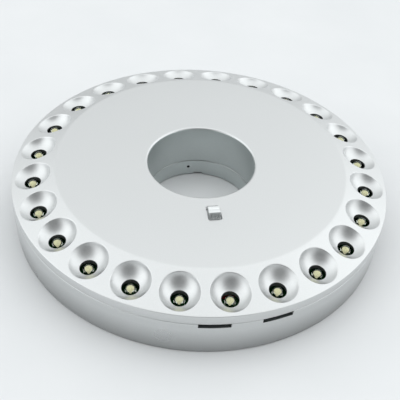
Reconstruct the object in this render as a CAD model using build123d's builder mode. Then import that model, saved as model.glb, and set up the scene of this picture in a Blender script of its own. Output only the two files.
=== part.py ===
from build123d import *
from math import atan2, cos, radians, sin, tan
import os

# A disc-shaped camping lamp. The origin is at the centre of the underside, +Z points up
# through the pole bore, and the switch lies on the -Y side. All sizes are in millimetres.

# Housing
outer_radius = 95.0
overall_height = 32.0
wall = 2.0
rim_width = 21.6  # from the edge of the flat top to the outer edge
rim_drop = 7.0  # fall of the sloping rim from the flat top to its outer edge
rim_chamfer = 0.7
parting_drop = 12.0  # from the flat top down to the joint between the two shells
parting_groove = 0.35
base_bevel_height = 3.6
base_bevel_width = 1.6
base_corner = 1.3
lip_depth = 2.4  # how far the top shell's lip reaches into the bottom shell
lip_thickness = 1.7
lip_clearance = 0.08

# Pole bore
bore_radius = 27.2
bore_wall = 2.0
bore_rim_chamfer = 1.2
seam_height = 9.7  # where the upper sleeve stands on the lower collar
seam_chamfer = 0.35
bore_foot_chamfer = 0.5
vent_angle = 93.4  # the small hole in the collar, in degrees from +X
vent_height = 5.6
vent_radius = 0.8
notch_angle = 81.7
notch_width = 5.0
notch_height = 1.4
notch_depth = 1.3

# Wells and light-emitting diodes
led_count = 24
first_led_angle = -90.0
well_inset = 10.6  # from the outer edge to the middle of a well's rim
well_rim_radius = 9.3
well_throat_radius = 3.8
well_floor_drop = 8.6  # from the flat top down to the wells' floor
well_overcut = 1.0
led_inset = 10.3  # from the outer edge to the diodes
led_radius = 2.5
led_facets = 12
led_length = 8.6
led_shoulder = 2.0
led_shoulder_inset = 1.2
chip_size = 1.4
chip_thickness = 0.6
chip_depth = 3.4  # below the top of the lens

# Ring board under the wells
board_thickness = 1.6
board_width = 15.4
board_edge_gap = 0.2
board_drop = 6.8  # from the wells' floor down to the board
rib_count = 12
rib_thickness = 1.4
rib_setback = 1.2
resistor_length = 3.2
resistor_width = 1.6
resistor_thickness = 0.6
resistor_setback = 3.0

# Slots in the rim, each a straight cut through the wall
slot_angles = (-94.9, -77.6)
slot_length = 14.5
slot_height = 2.3
slot_reach = 6.0

# Slide switch
switch_board_gap = 0.9  # from the bore's sleeve to the switch board
window_width = 6.8
window_length = 10.0
window_corner = 1.2
knob_width = 5.4
knob_length = 4.7
knob_rise = 2.5  # above the flat top
knob_edge = 0.4
knob_groove_width = 0.7
knob_groove_depth = 0.4
switch_travel = 2.0  # each way from the middle
slider_gap = 0.3
slider_width = 9.0
slider_thickness = 0.8
slider_cover = 0.05
stem_width = 2.8
stem_length = 3.6
stem_reach = 2.6
switch_body_width = 8.0
switch_body_length = 14.0
switch_body_gap = 1.0
stem_side_gap = 0.2
switch_board_width = 24.0
switch_board_length = 17.0
stake_offset = 9.6
stake_post = 4.0
stake_size = 2.0
stake_end = 0.6
stake_clearance = 0.1
pin_count = 4
pin_pitch = 3.0
pin_size = 0.7
pin_tail = 0.6  # from the board's underside to the leads

# Battery bays, one each side of the bore, each with two AA cells
cell_radius = 7.25
cell_length = 50.5
cell_nub_radius = 2.75
cell_nub_length = 1.0
cell_gap = 0.3
cell_side_gap = 0.6
bay_setback = 2.8  # from the bore's sleeve to the bay
bay_wall = 1.5
leaf_room = 7.15  # from a cell's foot to the strip behind it
door_thickness = 1.9
door_recess = 0.1
door_clearance = 0.3
door_ledge = 1.0
cell_lift = 0.4  # from the door to the cells
roof_gap = 0.4
knuckle_radius = 1.7
knuckle_inset = 2.0
knuckle_land = 3.4
door_shoulder = 2.6  # from the hinge to the door's wide part, which has to swing clear of the land
hinge_pin_radius = 0.9
hinge_pin_length = 1.7
hinge_pin_clearance = 0.05
hinge_pin_end_gap = 0.2
catch_height = 3.2
catch_thickness = 1.0
catch_width = 14.0
catch_inset = 1.3
grip_depth = 0.7
grip_width = 1.2
grip_pitch = 2.4
grip_count = 4
grip_length = 16.0
nail_width = 14.0
nail_depth = 2.4
nail_height = 1.2

# Battery contacts, bent from strip
strip = 0.4
strip_width = 7.0
strip_height = 9.5
contact_gap = 0.05
leaf_foot = 1.5
leaf_land = 1.5
leaf_width = 5.0
tag_width = 2.2
tag_clearance = 0.05

# Folding hooks, one at the front and one at the back
hook_setback = 14.8  # from the bore's sleeve to the middle of the throat
hook_reach = 27.0  # from the middle of the throat to the pin
hook_bar = 4.5
hook_throat = 5.0
hook_tip = 6.0
hook_thickness = 4.0
barrel_radius = 2.2
barrel_height = 3.0
hook_pin_radius = 1.0
hook_pin_clearance = 0.05
hook_pin_seat = 1.2
pocket_gap = 0.5
pocket_end = 3.0
pocket_roof_gap = 0.8
pocket_wall = 1.6

# Housing screws
screw_setback = 13.6  # from the ring board's inner edge to the screws
screw_angle = 60.0
screw_head_radius = 2.8
screw_head_height = 2.0
screw_shank_radius = 1.3
screw_length = 13.0
screw_hole_clearance = 0.2
screw_thread_clearance = 0.04
screw_well_radius = 3.3
screw_well_depth = 8.0
screw_web = 4.0
boss_width = 9.6
post_width = 8.0

# Flat wiring inside the housing
lead_thickness = 0.8
lead_width = 2.0
lead_bend = 2.5
lead_setback = 2.95  # from the bays' ends to the straight run of the lead between them
ribbon_thickness = 0.7
ribbon_width = 7.6
ribbon_bite = 2.5
ribbon_flat = 8.0

# Sizes across the lamp that follow from the bore and the outer edge
disc_radius = outer_radius - rim_width
rim_slope = atan2(rim_drop, rim_width)
bore_outer = bore_radius + bore_wall
wall_inner = outer_radius - wall
lip_outer = wall_inner - lip_clearance
lip_inner = lip_outer - lip_thickness
well_radius = outer_radius - well_inset
led_ring_radius = outer_radius - led_inset
board_outer_radius = lip_inner - board_edge_gap
board_inner_radius = board_outer_radius - board_width
rib_inner_radius = board_inner_radius + rib_setback
rib_outer_radius = board_outer_radius - rib_setback
resistor_radius = board_inner_radius + resistor_setback
switch_radius = bore_outer + switch_board_gap + switch_board_length / 2
led_pitch = 360 / led_count
rib_angle = first_led_angle + led_pitch / 2

# Heights that follow from the flat top
top_inside = overall_height - wall
parting_height = overall_height - parting_drop
well_floor_height = overall_height - well_floor_drop
board_top = well_floor_height - board_drop
board_bottom = board_top - board_thickness


def rim_height(radius):
    """Height of the sloping rim's outside at a distance from the axis."""
    return overall_height - (radius - disc_radius) * tan(rim_slope)


def keep(piece, name):
    """Label a finished piece and write it as its own file."""
    piece.part.label = name
    export_step(piece.part, f"parts/{name}.step")


def upright(turn):
    """Upright plane through the axis: x runs outwards at an angle of turn degrees, y runs up."""
    angle = radians(turn)
    return Plane(origin=(0, 0, 0), x_dir=(cos(angle), sin(angle), 0), z_dir=(sin(angle), -cos(angle), 0))


def level(turn, height):
    """Level plane at a height, with x outwards at an angle of turn degrees."""
    return Plane.XY.offset(height).rotated((0, 0, turn))


def side_on(turn, offset, end):
    """Upright plane along a bay at a distance from its middle: x runs to one end, y runs up."""
    bay = level(turn, 0)
    return Plane(origin=bay.from_local_coords((offset, 0, 0)), x_dir=bay.y_dir * end, z_dir=bay.x_dir * end)


os.makedirs("parts", exist_ok=True)

# Battery bay sizes that follow from the cells
door_top = door_recess + door_thickness
cell_height = door_top + cell_lift + cell_radius
bay_inner = bore_outer + bay_setback
cell_inner = bay_inner + cell_side_gap + cell_radius
cell_outer = cell_inner + 2 * cell_radius + cell_gap
bay_outer = cell_outer + cell_radius + cell_side_gap
bay_roof = cell_height + cell_radius + roof_gap
bay_length = cell_length + leaf_room + 2 * strip + contact_gap
bay_half = bay_length / 2
lead_row = bay_half + lead_setback
hinge_x = bay_inner + knuckle_inset
hinge_z = door_recess + knuckle_radius
knuckle_half = bay_half - door_clearance
bay_middle = (bay_inner + bay_outer) / 2
bay_span = bay_outer - bay_inner
bay_top = bay_roof + bay_wall
bay_turns = {"right": 0, "left": 180}
# Which end of each bay holds the linking strip, and which cell shows its foot there and at the other end
bay_links = {"right": (1, cell_outer, cell_inner), "left": (-1, cell_inner, cell_outer)}

# Hook sizes that follow from its outline
hook_eye = bore_outer + hook_setback
hook_pivot = hook_eye + hook_reach
hook_half = hook_throat + hook_bar
pocket_half = hook_half + pocket_gap
pocket_inner = hook_eye - hook_half - pocket_gap
pocket_outer = hook_pivot + pocket_end
pocket_top = barrel_height + hook_thickness / 2 + pocket_roof_gap
hook_turns = {"front": -90, "back": 90}
screw_x = (board_inner_radius - screw_setback) * cos(radians(screw_angle))
screw_y = (board_inner_radius - screw_setback) * sin(radians(screw_angle))
screw_places = [(x, y) for x in (-screw_x, screw_x) for y in (-screw_y, screw_y)]
screw_web_top = screw_well_depth + screw_web

# The switch hangs under the flat top, over the leads that lie on the bays
lead_top = bay_top + lead_thickness
switch_board_bottom = lead_top + pin_tail
switch_board_top = switch_board_bottom + board_thickness
slider_top = top_inside - slider_gap
slider_bottom = slider_top - slider_thickness
switch_body_top = slider_bottom - switch_body_gap

# Top shell: a flat disc with a sloping rim, a lip below, and a sleeve round the bore
slope_cut = wall * tan(rim_slope / 2)
# A well is a cone that leans outwards. It meets the slope in a circle round well_radius, and its
# floor in a hole round led_ring_radius, so its two sides lean by different angles.
rim_reach = well_rim_radius * cos(rim_slope)
rim_in = well_radius - rim_reach
rim_out = well_radius + rim_reach
hole_in = led_ring_radius - well_throat_radius
hole_out = led_ring_radius + well_throat_radius
lean_in = atan2(hole_in - rim_in, rim_height(rim_in) - well_floor_height)
lean_out = atan2(rim_out - hole_out, rim_height(rim_out) - well_floor_height)
well_lean = (lean_out - lean_in) / 2
well_flare = tan((lean_out + lean_in) / 2)
apex_drop = 2 * well_throat_radius / (tan(lean_in) + tan(lean_out))
well_plane = Plane(
    origin=(hole_in + apex_drop * tan(lean_in), 0, well_floor_height - apex_drop),
    x_dir=(cos(well_lean), 0, -sin(well_lean)),
    z_dir=(sin(well_lean), 0, cos(well_lean)),
)
well_start = apex_drop / 2
well_end = well_rim_radius / well_flare + well_overcut
with BuildPart() as well_cutter:
    with Locations(well_plane.offset(well_start)):
        Cone(
            bottom_radius=well_start * well_flare,
            top_radius=well_end * well_flare,
            height=well_end - well_start,
            align=(Align.CENTER, Align.CENTER, Align.MIN),
        )

with BuildPart() as top_shell:
    with BuildSketch(Plane.XZ):
        with BuildLine():
            Polyline(
                (bore_radius, seam_height),
                (bore_radius, overall_height - bore_rim_chamfer),
                (bore_radius + bore_rim_chamfer, overall_height),
                (disc_radius, overall_height),
                (outer_radius - rim_chamfer, rim_height(outer_radius - rim_chamfer)),
                (outer_radius, rim_height(outer_radius) - rim_chamfer),
                (outer_radius, parting_height),
                (lip_outer, parting_height),
                (lip_outer, parting_height - lip_depth),
                (lip_inner, parting_height - lip_depth),
                (lip_inner, well_floor_height),
                (board_inner_radius, well_floor_height),
                (disc_radius - slope_cut, top_inside),
                (bore_outer, top_inside),
                (bore_outer, seam_height),
                close=True,
            )
        make_face()
    revolve(axis=Axis.Z)
    # Spacer ribs between the wells, which seat on the ring board
    with BuildSketch(Plane.XY.offset(board_top)):
        with PolarLocations((rib_inner_radius + rib_outer_radius) / 2, rib_count, start_angle=rib_angle):
            Rectangle(rib_outer_radius - rib_inner_radius, rib_thickness)
    extrude(until=Until.NEXT)
    # Screw posts and the two posts that carry the switch board
    with BuildSketch(Plane.XY.offset(screw_web_top)):
        with Locations(*screw_places):
            Rectangle(post_width, post_width)
    extrude(until=Until.NEXT)
    with BuildSketch(Plane.XY.offset(switch_board_top)):
        with Locations((-stake_offset, -switch_radius), (stake_offset, -switch_radius)):
            Rectangle(stake_post, stake_post)
    extrude(until=Until.NEXT)
    with BuildSketch(Plane.XY.offset(switch_board_bottom - stake_end)):
        with Locations((-stake_offset, -switch_radius), (stake_offset, -switch_radius)):
            Rectangle(stake_size, stake_size)
    extrude(until=Until.NEXT)
    with PolarLocations(0, led_count, start_angle=first_led_angle):
        add(well_cutter.part, mode=Mode.SUBTRACT)
    with BuildSketch(Plane.XY.offset(screw_web_top)):
        with Locations(*screw_places):
            Circle(screw_shank_radius + screw_thread_clearance)
    extrude(amount=screw_length - screw_web, mode=Mode.SUBTRACT)
    with BuildSketch(Plane.XY.offset(overall_height)):
        with Locations((0, -switch_radius)):
            RectangleRounded(window_width, window_length, window_corner)
    extrude(amount=-wall, mode=Mode.SUBTRACT)
    # The lip stops short of the slots in the rim
    with BuildSketch(Plane.XY.offset(parting_height)):
        for angle in slot_angles:
            with PolarLocations(outer_radius, 1, start_angle=angle):
                Rectangle(2 * slot_reach, slot_length)
    extrude(amount=-lip_depth, mode=Mode.SUBTRACT)
keep(top_shell, "top_shell")

# Bottom shell: a dish with a collar round the bore, two battery bays and two hook pockets
with BuildPart() as bottom_shell:
    with BuildSketch(Plane.XZ):
        with BuildLine():
            Polyline(
                (bore_radius + bore_foot_chamfer, 0),
                (outer_radius - base_bevel_height, 0),
                (outer_radius - base_corner, base_bevel_width),
                (outer_radius, base_bevel_height + base_corner),
                (outer_radius, parting_height - parting_groove),
                (outer_radius - parting_groove, parting_height),
                (wall_inner, parting_height),
                (wall_inner, wall),
                (bore_outer, wall),
                (bore_outer, seam_height),
                (bore_radius + seam_chamfer, seam_height),
                (bore_radius, seam_height - seam_chamfer),
                (bore_radius, bore_foot_chamfer),
                close=True,
            )
        make_face()
    revolve(axis=Axis.Z)
    # Ribs that carry the ring board
    with BuildSketch(Plane.XY.offset(board_bottom)):
        with PolarLocations((rib_inner_radius + rib_outer_radius) / 2, rib_count, start_angle=rib_angle):
            Rectangle(rib_outer_radius - rib_inner_radius, rib_thickness)
    extrude(until=Until.NEXT, dir=(0, 0, -1))
    with BuildSketch(Plane.XY.offset(wall)):
        with Locations(*screw_places):
            Rectangle(boss_width, boss_width)
    extrude(amount=screw_web_top - wall)
    for turn in bay_turns.values():
        with BuildSketch(level(turn, 0)):
            with Locations((bay_middle, 0)):
                Rectangle(bay_span + 2 * bay_wall, bay_length + 2 * bay_wall)
        extrude(amount=bay_top)
    for turn in hook_turns.values():
        with BuildSketch(level(turn, 0)):
            with Locations(((pocket_inner + pocket_outer) / 2, 0)):
                Rectangle(pocket_outer - pocket_inner + 2 * pocket_wall, 2 * (pocket_half + pocket_wall))
        extrude(amount=pocket_top + pocket_wall)
    for side, turn in bay_turns.items():
        with BuildSketch(level(turn, 0)):
            with Locations((bay_middle, 0)):
                Rectangle(bay_span, bay_length)
        extrude(amount=bay_roof, mode=Mode.SUBTRACT)
        # Slots in the bay's roof for the tags of the two contacts
        with BuildSketch(level(turn, bay_roof)):
            tag_end = -bay_links[side][0] * (bay_half - strip / 2)
            with Locations((cell_inner, tag_end), (cell_outer, tag_end)):
                Rectangle(tag_width + 2 * tag_clearance, strip + 2 * tag_clearance)
        extrude(amount=bay_wall, mode=Mode.SUBTRACT)
        # The door's recess is wider than the bay, but not at the hinge, where the pins seat
        with BuildSketch(level(turn, 0)):
            with Locations(((bay_inner + knuckle_land + bay_outer + door_ledge) / 2, 0)):
                Rectangle(bay_span - knuckle_land + door_ledge, bay_length + 2 * door_ledge)
        extrude(amount=door_top, mode=Mode.SUBTRACT)
        # Room for a fingernail beside the catch
        with BuildSketch(level(turn, 0)):
            with Locations((bay_outer + door_ledge + nail_depth / 2, 0)):
                Rectangle(nail_depth, nail_width)
        extrude(amount=nail_height, mode=Mode.SUBTRACT)
        with BuildSketch(upright(turn)):
            with Locations((hinge_x, hinge_z)):
                Circle(hinge_pin_radius + hinge_pin_clearance)
        hole_half = knuckle_half + hinge_pin_length + hinge_pin_end_gap
        extrude(amount=hole_half, both=True, mode=Mode.SUBTRACT)
    for turn in hook_turns.values():
        with BuildSketch(level(turn, 0)):
            with Locations(((pocket_inner + pocket_outer) / 2, 0)):
                Rectangle(pocket_outer - pocket_inner, 2 * pocket_half)
        extrude(amount=pocket_top, mode=Mode.SUBTRACT)
        with BuildSketch(upright(turn)):
            with Locations((hook_pivot, barrel_height)):
                Circle(hook_pin_radius)
        extrude(amount=pocket_half + hook_pin_seat, both=True, mode=Mode.SUBTRACT)
    with Locations(*[(x, y, 0) for x, y in screw_places]):
        with Locations(Rotation(180, 0, 0)):
            CounterBoreHole(
                radius=screw_shank_radius + screw_hole_clearance,
                counter_bore_radius=screw_well_radius,
                counter_bore_depth=screw_well_depth,
                depth=screw_web_top,
            )
    with BuildSketch(Plane.XY.offset(parting_height)):
        for angle in slot_angles:
            with PolarLocations(outer_radius, 1, start_angle=angle):
                Rectangle(2 * slot_reach, slot_length)
    extrude(amount=-slot_height, mode=Mode.SUBTRACT)
    # A small hole through the collar, and a shallow notch in its foot
    with BuildSketch(Plane(origin=(0, 0, vent_height), x_dir=(0, 0, 1), z_dir=upright(vent_angle).x_dir)):
        Circle(vent_radius)
    extrude(amount=bore_outer, mode=Mode.SUBTRACT)
    with BuildSketch(level(notch_angle, 0)):
        with Locations((bore_radius, 0)):
            Rectangle(2 * notch_depth, notch_width)
    extrude(amount=notch_height, mode=Mode.SUBTRACT)
keep(bottom_shell, "bottom_shell")

# Housing screws, driven up from the underside into the top shell's posts
with BuildPart() as housing_screws:
    with BuildSketch(Plane.XY.offset(screw_well_depth)):
        with Locations(*screw_places):
            Circle(screw_head_radius)
    extrude(amount=-screw_head_height)
    with BuildSketch(Plane.XY.offset(screw_well_depth)):
        with Locations(*screw_places):
            Circle(screw_shank_radius)
    extrude(amount=screw_length)
keep(housing_screws, "housing_screws")

# Ring board, clamped between the two shells' ribs, with one flat side under each diode
with BuildPart() as ring_board:
    with BuildSketch(Plane.XY.offset(board_bottom)):
        RegularPolygon(board_outer_radius, led_count, rotation=rib_angle)
        RegularPolygon(board_inner_radius, led_count, rotation=rib_angle, mode=Mode.SUBTRACT)
    extrude(amount=board_thickness)
keep(ring_board, "ring_board")

# Light-emitting diodes: clear lenses, each cast round a chip
lens_top = board_top + led_length
with BuildPart() as led_chips:
    with BuildSketch(Plane.XY.offset(lens_top - chip_depth)):
        with PolarLocations(led_ring_radius, led_count, start_angle=first_led_angle):
            Rectangle(chip_size, chip_size)
    extrude(amount=-chip_thickness)
keep(led_chips, "led_chips")

with BuildPart() as led_lenses:
    with BuildSketch(Plane.XY.offset(board_top)):
        with PolarLocations(led_ring_radius, led_count, start_angle=first_led_angle):
            RegularPolygon(led_radius, led_facets)
    extrude(amount=led_length)
    chamfer(led_lenses.faces().group_by(Axis.Z)[-1].edges(), led_shoulder, led_shoulder_inset)
    add(led_chips.part, mode=Mode.SUBTRACT)
keep(led_lenses, "led_lenses")

# One resistor to each pair of diodes, under the ring board
with BuildPart() as ring_resistors:
    with BuildSketch(Plane.XY.offset(board_bottom)):
        with PolarLocations(resistor_radius, led_count // 2, start_angle=first_led_angle):
            Rectangle(resistor_width, resistor_length)
    extrude(amount=-resistor_thickness)
keep(ring_resistors, "ring_resistors")

# Slide switch: a grooved knob on a slider, over a small switch on its own board
slider_length = window_length + 2 * (switch_travel + slider_cover)
knob_top = overall_height + knob_rise
with BuildPart() as switch_knob:
    with BuildSketch(Plane.XY.offset(slider_top)):
        with Locations((0, -switch_radius)):
            Rectangle(knob_width, knob_length)
    extrude(amount=knob_top - slider_top)
    chamfer(switch_knob.faces().sort_by(Axis.Z)[-1].edges(), knob_edge)
    with BuildSketch(Plane.XY.offset(knob_top)):
        with Locations((0, -switch_radius)):
            Rectangle(knob_width, knob_groove_width)
    extrude(amount=-knob_groove_depth, mode=Mode.SUBTRACT)
keep(switch_knob, "switch_knob")

with BuildPart() as switch_slider:
    with BuildSketch(Plane.XY.offset(slider_bottom)):
        with Locations((0, -switch_radius)):
            Rectangle(slider_width, slider_length)
    extrude(amount=slider_thickness)
    with BuildSketch(Plane.XY.offset(slider_bottom)):
        with Locations((0, -switch_radius)):
            Rectangle(stem_width, stem_length)
    extrude(amount=-switch_body_gap - stem_reach)
keep(switch_slider, "switch_slider")

with BuildPart() as switch_body:
    with BuildSketch(Plane.XY.offset(switch_board_top)):
        with Locations((0, -switch_radius)):
            Rectangle(switch_body_width, switch_body_length)
    extrude(amount=switch_body_top - switch_board_top)
    with BuildSketch(Plane.XY.offset(switch_body_top)):
        with Locations((0, -switch_radius)):
            Rectangle(
                stem_width + 2 * stem_side_gap,
                stem_length + 2 * (switch_travel + stem_side_gap),
            )
    extrude(amount=-stem_reach - stem_side_gap, mode=Mode.SUBTRACT)
keep(switch_body, "switch_body")

pin_rows = GridLocations(0, pin_pitch, 1, pin_count).locations
pin_places = [(row.position.X, row.position.Y - switch_radius) for row in pin_rows]
with BuildPart() as switch_board:
    with BuildSketch(Plane.XY.offset(switch_board_bottom)):
        with Locations((0, -switch_radius)):
            Rectangle(switch_board_width, switch_board_length)
        with Locations((-stake_offset, -switch_radius), (stake_offset, -switch_radius)):
            Rectangle(stake_size + stake_clearance, stake_size + stake_clearance, mode=Mode.SUBTRACT)
        with Locations(*pin_places):
            Rectangle(pin_size, pin_size, mode=Mode.SUBTRACT)
    extrude(amount=board_thickness)
keep(switch_board, "switch_board")

with BuildPart() as switch_pins:
    with BuildSketch(Plane.XY.offset(switch_board_top)):
        with Locations(*pin_places):
            Rectangle(pin_size, pin_size)
    extrude(amount=lead_top - switch_board_top)
keep(switch_pins, "switch_pins")

# Batteries, doors and contacts, the same on both sides of the bore
cell_places = {"inner": (cell_inner, 1), "outer": (cell_outer, -1)}
contact_face = bay_half - strip
cell_head = contact_face - contact_gap
cell_foot = cell_head - cell_length
strip_low = cell_height - strip_height / 2
strip_high = cell_height + strip_height / 2
leaf_front = contact_gap - cell_foot + strip / 2
for side, turn in bay_turns.items():
    for place, (offset, way) in cell_places.items():
        # Each cell lies along the bay, and the two point opposite ways
        foot_plane = Plane(
            origin=upright(turn).from_local_coords((offset, cell_height, 0)),
            z_dir=upright(turn).z_dir * -way,
        )
        with BuildPart() as cell:
            with BuildSketch(foot_plane.offset(cell_foot)):
                Circle(cell_radius)
            extrude(amount=cell_length - cell_nub_length)
            with BuildSketch(foot_plane.offset(cell_head)):
                Circle(cell_nub_radius)
            extrude(amount=-cell_nub_length)
        keep(cell, f"cell_{side}_{place}")

    with BuildPart() as door:
        with BuildSketch(level(turn, door_recess)):
            door_edge = bay_outer + door_ledge - door_clearance
            with Locations(((hinge_x + door_edge) / 2, 0)):
                Rectangle(door_edge - hinge_x, 2 * knuckle_half)
            shoulder = hinge_x + door_shoulder
            with Locations(((shoulder + door_edge) / 2, 0)):
                Rectangle(door_edge - shoulder, 2 * (bay_half + door_ledge - door_clearance))
        extrude(amount=door_thickness)
        with BuildSketch(upright(turn)):
            with Locations((hinge_x, hinge_z)):
                Circle(knuckle_radius)
        extrude(amount=knuckle_half, both=True)
        with BuildSketch(upright(turn)):
            with Locations((hinge_x, hinge_z)):
                Circle(hinge_pin_radius)
        extrude(amount=knuckle_half + hinge_pin_length, both=True)
        # A springy catch inside, and a ribbed grip outside
        with BuildSketch(level(turn, door_top)):
            with Locations((bay_outer - catch_inset, 0)):
                Rectangle(catch_thickness, catch_width)
        extrude(amount=catch_height)
        with BuildSketch(level(turn, door_recess)):
            with Locations((door_edge - grip_count * grip_pitch, 0)):
                with GridLocations(grip_pitch, 0, grip_count, 1):
                    Rectangle(grip_width, grip_length)
        extrude(amount=grip_depth, mode=Mode.SUBTRACT)
    keep(door, f"battery_door_{side}")

    # One strip joins the two cells at one end. At the other end each cell has a contact with a tag.
    link_end, link_foot, free_foot = bay_links[side]
    contacts = {
        f"link_strip_{side}": (link_end, bay_middle, cell_outer - cell_inner + strip_width, link_foot),
        f"negative_leaf_{side}": (-link_end, free_foot, strip_width, free_foot),
        f"positive_plate_{side}": (-link_end, link_foot, strip_width, None),
    }
    for name, (end, plate_offset, plate_width, leaf_offset) in contacts.items():
        plate_end = end * (bay_half - strip / 2)
        with BuildPart() as contact:
            with BuildSketch(level(turn, strip_low)):
                with Locations((plate_offset, plate_end)):
                    Rectangle(plate_width, strip)
            extrude(amount=strip_height)
            if end != link_end:
                with BuildSketch(level(turn, strip_high)):
                    with Locations((plate_offset, plate_end)):
                        Rectangle(tag_width, strip)
                extrude(amount=lead_top - strip_high)
            if leaf_offset:
                with BuildSketch(side_on(turn, leaf_offset, end)):
                    with BuildLine():
                        Polyline(
                            (bay_half - strip / 2, strip_high - strip / 2),
                            (leaf_front, cell_height + leaf_land),
                            (leaf_front, cell_height - leaf_land),
                            (bay_half - leaf_foot, strip_low + strip),
                        )
                    trace(line_width=strip)
                extrude(amount=leaf_width / 2, both=True)
        keep(contact, name)

# Folding hooks: a J that lies in its pocket and turns on a pin at its outer end
arm_middle = -hook_throat - hook_bar / 2
for place, turn in hook_turns.items():
    with BuildPart() as hook:
        with BuildSketch(level(turn, barrel_height - hook_thickness / 2)):
            with Locations((hook_eye, 0)):
                Circle(hook_half)
            with Locations((hook_eye + hook_half, 0)):
                Rectangle(2 * hook_half, 2 * hook_half, mode=Mode.SUBTRACT)
            with Locations((hook_eye, arm_middle)):
                Rectangle(hook_pivot - hook_eye, hook_bar, align=(Align.MIN, Align.CENTER))
            with Locations((hook_eye, -arm_middle)):
                Rectangle(hook_tip, hook_bar, align=(Align.MIN, Align.CENTER))
            with Locations((hook_eye, 0)):
                Circle(hook_throat, mode=Mode.SUBTRACT)
        extrude(amount=hook_thickness)
        with BuildSketch(upright(turn)):
            with Locations((hook_pivot, barrel_height)):
                Circle(barrel_radius)
        extrude(amount=hook_half, both=True)
        with BuildSketch(upright(turn)):
            with Locations((hook_pivot, barrel_height)):
                Circle(hook_pin_radius + hook_pin_clearance)
        extrude(amount=hook_half, both=True, mode=Mode.SUBTRACT)
    keep(hook, f"hook_{place}")

    with BuildPart() as pin:
        with BuildSketch(upright(turn)):
            with Locations((hook_pivot, barrel_height)):
                Circle(hook_pin_radius)
        extrude(amount=pocket_half + hook_pin_seat, both=True)
    keep(pin, f"hook_pin_{place}")

# Flat wiring: leads on the bays' roofs, and a ribbon from the switch board to the ring board
lead_routes = [
    [(cell_inner, -bay_half), (cell_inner, -lead_row), (-cell_inner, -lead_row), (-cell_inner, -bay_half)],
    [(cell_outer, -bay_half), (cell_outer, pin_places[2][1]), pin_places[2]],
    [(-cell_outer, -bay_half), (-cell_outer, pin_places[1][1]), pin_places[1]],
]
with BuildPart() as bay_leads:
    for route in lead_routes:
        with BuildSketch(Plane.XY.offset(bay_top)):
            with BuildLine():
                FilletPolyline(*route, radius=lead_bend)
            trace(line_width=lead_width)
        extrude(amount=lead_thickness)
keep(bay_leads, "bay_leads")

ribbon_start = switch_radius + switch_board_length / 2 - ribbon_bite
ribbon_end = board_inner_radius + ribbon_bite
with BuildPart() as ribbon_cable:
    with BuildSketch(upright(first_led_angle)):
        with BuildLine():
            FilletPolyline(
                (ribbon_start, switch_board_bottom - ribbon_thickness / 2),
                (ribbon_start + ribbon_flat, switch_board_bottom - ribbon_thickness / 2),
                (ribbon_end - ribbon_flat, board_top + ribbon_thickness / 2),
                (ribbon_end, board_top + ribbon_thickness / 2),
                radius=lead_bend,
            )
        trace(line_width=ribbon_thickness)
    extrude(amount=ribbon_width / 2, both=True)
keep(ribbon_cable, "ribbon_cable")
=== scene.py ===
import math

import bmesh
import bpy
from mathutils import Matrix, Vector


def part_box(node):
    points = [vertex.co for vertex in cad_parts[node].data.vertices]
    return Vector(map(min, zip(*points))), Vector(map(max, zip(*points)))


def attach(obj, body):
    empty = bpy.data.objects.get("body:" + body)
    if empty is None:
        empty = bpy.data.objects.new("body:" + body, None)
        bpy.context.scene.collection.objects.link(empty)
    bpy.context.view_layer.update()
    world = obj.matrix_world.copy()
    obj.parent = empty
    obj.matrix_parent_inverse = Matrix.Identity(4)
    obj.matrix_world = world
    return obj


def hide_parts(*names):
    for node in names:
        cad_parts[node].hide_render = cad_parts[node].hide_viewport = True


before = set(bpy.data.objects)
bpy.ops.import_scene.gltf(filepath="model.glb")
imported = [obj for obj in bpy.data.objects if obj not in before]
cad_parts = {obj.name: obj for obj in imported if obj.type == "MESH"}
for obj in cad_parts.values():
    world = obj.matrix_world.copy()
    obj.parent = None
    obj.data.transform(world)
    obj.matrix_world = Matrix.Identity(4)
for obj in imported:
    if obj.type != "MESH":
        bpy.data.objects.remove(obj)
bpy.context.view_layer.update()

# A disc-shaped camping lamp. Sizes are in millimetres, as in the part's source, and become metres
# where a mesh is made. The origin is at the centre of the underside, and the switch is on the -Y
# side. Angles round the lamp are in degrees from +X.
MM = 0.001
MERGE_DISTANCE = 1e-6  # in metres

# The housing: a flat disc, a sloping rim, a side wall that draws in towards its foot, a lip behind
# the parting line, and a bore with a seam between the two shells
OUTER_RADIUS = 95.0
HEIGHT = 32.0
DISC_RADIUS = 73.4
RIM_DROP = 7.0
RIM_ROUND = 0.35
CREASE_ROUND = 4.0
PARTING_HEIGHT = 20.0
PARTING_ROUND = 0.25
WALL = 2.0
WALL_SAG = 0.5
WALL_SAG_POWER = 3
WALL_STEPS = 12
BASE_ROUND = 0.9
WALL_END = 0.8 * BASE_ROUND  # height where the side wall passes into the round of its foot
LIP_OUTER = 92.92
LIP_INNER = 91.22
LIP_DEPTH = 2.4
LIP_OPENING = 4.0  # how deep the openings in the lip are, which clear the slots
BORE_RADIUS = 27.2
BORE_OUTER = 29.2
BORE_ROUND = 1.2
BORE_FOOT = 0.5
SEAM_HEIGHT = 9.7
SEAM_ROUND = 0.55

# Where the paint lies. The paint has its full colour from the first height below up, and beneath it
# is darkened towards the foot as painted shade. The bare inside starts a little behind the bore
# and ends a little short of the outer edge.
FOOT_SHADE_HEIGHT = 15.0
PAINT_MARGIN = 0.1
BARE_START = BORE_RADIUS + SEAM_ROUND + PAINT_MARGIN
TOP_BARE_END = OUTER_RADIUS - 0.4
BASE_BARE_END = OUTER_RADIUS - 0.6
# Out to this radius the bore's upright faces take a darker copy of the paint, as painted shade
BORE_SHADE_END = BORE_RADIUS + 0.5
UPWARD = 0.02  # share of a normal from which a face counts as looking up
UPRIGHT = 0.5  # share of a normal up to which a face counts as upright

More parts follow.
